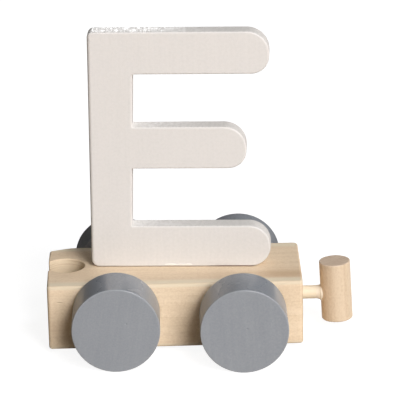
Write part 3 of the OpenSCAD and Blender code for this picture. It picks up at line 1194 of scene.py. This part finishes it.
class FinishDowels(bpy.types.Operator):
    """Plain turned wood on the axles and on the dowels that pin the letter"""

    bl_idname = "letter_car.dowels"
    bl_label = "Axles and dowels"

    # Where the pith lies beside a dowel's middle line, in millimetres
    pith = (5.0, 7.0)

    def execute(self, context):
        settings = context.scene.letter_car.coupling
        colours = settings.dowel_light, settings.dowel_dark, settings.cut
        turns = {node: (0, 0, QUARTER) for node in AXLES}
        turns.update({node: (0, QUARTER, 0) for node in DOWELS})
        for node, turn in turns.items():
            low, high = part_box(node)
            reach = max(high - low) / 2
            finish = turned_wood(
                node + "_wood", colours, settings.dowel_ring, middle(node), turn, self.pith, (-reach, reach)
            )
            materials = frame["nodes"][node].data.materials
            materials.clear()
            materials.append(finish)
        return {"FINISHED"}


class SetStage(bpy.types.Operator):
    """Camera at the photograph's angle, a softbox and smaller lamps, a dark screen and a pale floor"""

    bl_idname = "letter_car.stage"
    bl_label = "Stage"

    # Where the lamps aim, how far the camera sees and half the floor's width
    aim = MIDLINE + Vector((-2 * MM, 0, 40 * MM))
    view_end = 10.0
    floor_half = 3.0
    # How much of the light the camera sees on the floor, over a glow that is nearly white
    shadow_share = 0.3
    glow = 0.9
    # The screen's inner and outer radius, its lift off the floor, its height and its turn in degrees
    screen_start = 0.056
    screen_radius = 0.6
    screen_lift = 0.5 * MM
    screen_height = 0.4
    screen_turn = (120, 320)
    screen_steps = 49

    def camera(self, scene, settings):
        """Camera whose right, up and back axes come from its yaw, pitch and roll."""
        lens = bpy.data.cameras.new("camera")
        lens.lens = settings.lens
        lens.clip_end = self.view_end
        made = new_object("camera", lens)
        level = Euler((QUARTER - settings.pitch, 0, -settings.yaw)).to_matrix()
        turned_level = level @ Matrix.Rotation(-settings.roll, 3, "Z")
        made.matrix_world = Matrix.Translation(settings.camera) @ turned_level.to_4x4()
        scene.camera = made

    def lamp(self, name, level, azimuth, elevation, wide, tall, distance=2.5, tilt=0):
        """Flat lamp that aims at the car, its top tilted to the right, with its angles in degrees.

        On a white card that faces it, the light is about the given level.
        """
        light = bpy.data.lights.new(name, "AREA")
        light.shape = "RECTANGLE"
        light.size = wide
        light.size_y = tall
        light.energy = level * (math.pi * distance) ** 2
        made = new_object(name, light)
        azimuth, elevation = math.radians(azimuth), math.radians(elevation)
        towards = Vector((
            math.sin(azimuth) * math.cos(elevation),
            -math.cos(azimuth) * math.cos(elevation),
            math.sin(elevation),
        ))
        turn = towards.to_track_quat("Z", "Y").to_matrix().to_4x4()
        roll = Matrix.Rotation(math.radians(-tilt), 4, "Z")
        made.matrix_world = Matrix.Translation(self.aim + towards * distance) @ turn @ roll
        return made

    def lamps(self, settings):
        """A tilted softbox from the front right, a fill, low lamps behind, and a sheen for the letter alone.

        The low lamps stay out of reflections, where the dark screen is.
        """
        self.lamp("softbox", settings.key, azimuth=25, elevation=30, wide=1.0, tall=2.4, tilt=18)
        self.lamp("fill_lamp", settings.fill, azimuth=75, elevation=30, wide=1.2, tall=1.2)
        sheen = self.lamp(
            "sheen_lamp", settings.sheen, azimuth=186.5, elevation=20, wide=0.13, tall=0.13, distance=0.55
        )
        lit_by_sheen = bpy.data.collections.new("lit_by_sheen")
        lit_by_sheen.objects.link(bpy.data.objects[LETTER_PIECE])
        sheen.light_linking.receiver_collection = lit_by_sheen
        for name, level, azimuth in (("back_lamp", settings.back, 140), ("left_lamp", settings.left, 225)):
            low_lamp = self.lamp(name, level, azimuth, elevation=10, wide=0.65, tall=0.65)
            low_lamp.visible_glossy = False

    def floor(self, settings):
        """Flat floor: white with a soft shadow to the camera, and a dim warm tone to the object's light."""
        corners = np.array([(-1, -1, 0), (1, -1, 0), (1, 1, 0), (-1, 1, 0)]) * self.floor_half
        corners[:, 2] = cad_box[0].z
        mesh = bpy.data.meshes.new("floor")
        mesh.from_pydata(corners, [], [(0, 1, 2, 3)])
        material, nodes = new_nodes("floor_paper")
        plain = nodes.node("ShaderNodeBsdfDiffuse", {}, {"Color": rgba(settings.floor)})
        shaded = nodes.node("ShaderNodeBsdfDiffuse", {}, {"Color": rgba([self.shadow_share] * 3)})
        glow = nodes.node("ShaderNodeEmission", {}, {"Strength": self.glow})
        paper = nodes.node("ShaderNodeAddShader", {}, {0: shaded, 1: glow})
        shader = nodes.node("ShaderNodeMixShader", {}, {0: nodes.seen(), 1: plain, 2: paper})
        nodes.node("ShaderNodeOutputMaterial", {}, {"Surface": shader})
        mesh.materials.append(material)
        new_object("floor", mesh)

    def screen(self, settings):
        """Dark screen round the back and the left, which only reflections see.

        Its profile runs out along the floor and then straight up, and is carried round the car: a point at
        an angle, from the front and rightwards, stands at radius * (sin, -cos).
        """
        turn = np.radians(np.linspace(*self.screen_turn, self.screen_steps))
        radius = np.array([self.screen_start, self.screen_radius, self.screen_radius])[:, None]
        height = np.array([self.screen_lift, self.screen_lift, self.screen_height])[:, None]
        x, y = radius * np.sin(turn), MIDLINE.y - radius * np.cos(turn)
        points = np.stack([x, y, height + 0 * turn], -1).reshape(-1, 3)
        here = np.arange(len(turn) - 1) + np.arange(2)[:, None] * len(turn)
        corners = [here, here + 1, here + 1 + len(turn), here + len(turn)]
        mesh = bpy.data.meshes.new("dark_screen")
        mesh.from_pydata(points, [], np.stack(corners, -1).reshape(-1, 4).tolist())
        material, nodes = new_nodes("dark_cloth")
        cloth = nodes.node("ShaderNodeBsdfDiffuse", {}, {"Color": rgba(settings.screen)})
        nodes.node("ShaderNodeOutputMaterial", {}, {"Surface": cloth})
        mesh.materials.append(material)
        made = new_object("dark_screen", mesh)
        made.visible_camera = False
        made.visible_diffuse = False
        made.visible_transmission = False
        made.visible_shadow = False

    def world(self, scene, settings):
        """White to the camera and in reflections, and a dim grey for the object's light."""
        world = bpy.data.worlds.new("studio")
        world.use_nodes = True
        nodes = Nodes(world.node_tree)
        strength = settings.ambient + nodes.seen() * (1 - settings.ambient)
        shader = nodes.node("ShaderNodeBackground", {}, {"Color": (1, 1, 1, 1), "Strength": strength})
        nodes.node("ShaderNodeOutputWorld", {}, {"Surface": shader})
        scene.world = world

    def execute(self, context):
        scene = context.scene
        settings = scene.letter_car.stage
        self.camera(scene, settings)
        self.lamps(settings)
        self.floor(settings)
        self.screen(settings)
        self.world(scene, settings)
        scene.view_settings.view_transform = "Standard"
        return {"FINISHED"}


class LetterCarPanel(bpy.types.Panel):
    """Sizes and colours of the car, and a button for each group of pieces"""

    bl_idname = "VIEW3D_PT_letter_car"
    bl_label = "Letter train car"
    bl_space_type = "VIEW_3D"
    bl_region_type = "UI"
    bl_category = "Letter car"

    def draw(self, context):
        settings = context.scene.letter_car
        for operator, group in STEPS:
            box = self.layout.box()
            box.operator(operator.bl_idname)
            values = getattr(settings, group)
            for name in values.__annotations__:
                box.prop(values, name)


GROUPS = (
    BlockSettings, LetterSettings, WheelSettings, CouplingSettings, StageSettings, LetterCarSettings,
)
STEPS = (
    (BuildBlock, "block"),
    (BuildLetter, "letter"),
    (BuildWheels, "wheels"),
    (BuildCoupling, "coupling"),
    (FinishDowels, "coupling"),
    (SetStage, "stage"),
)
CLASSES = (*GROUPS, *(operator for operator, group in STEPS), LetterCarPanel)


def register():
    for kind in CLASSES:
        bpy.utils.register_class(kind)
    bpy.types.Scene.letter_car = PointerProperty(type=LetterCarSettings)


def unregister():
    del bpy.types.Scene.letter_car
    for kind in reversed(CLASSES):
        bpy.utils.unregister_class(kind)


def main():
    """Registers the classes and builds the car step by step."""
    register()
    bpy.ops.letter_car.block()
    bpy.ops.letter_car.letter()
    bpy.ops.letter_car.wheels()
    bpy.ops.letter_car.coupling()
    bpy.ops.letter_car.dowels()
    bpy.ops.letter_car.stage()


if __name__ == "__main__":
    main()
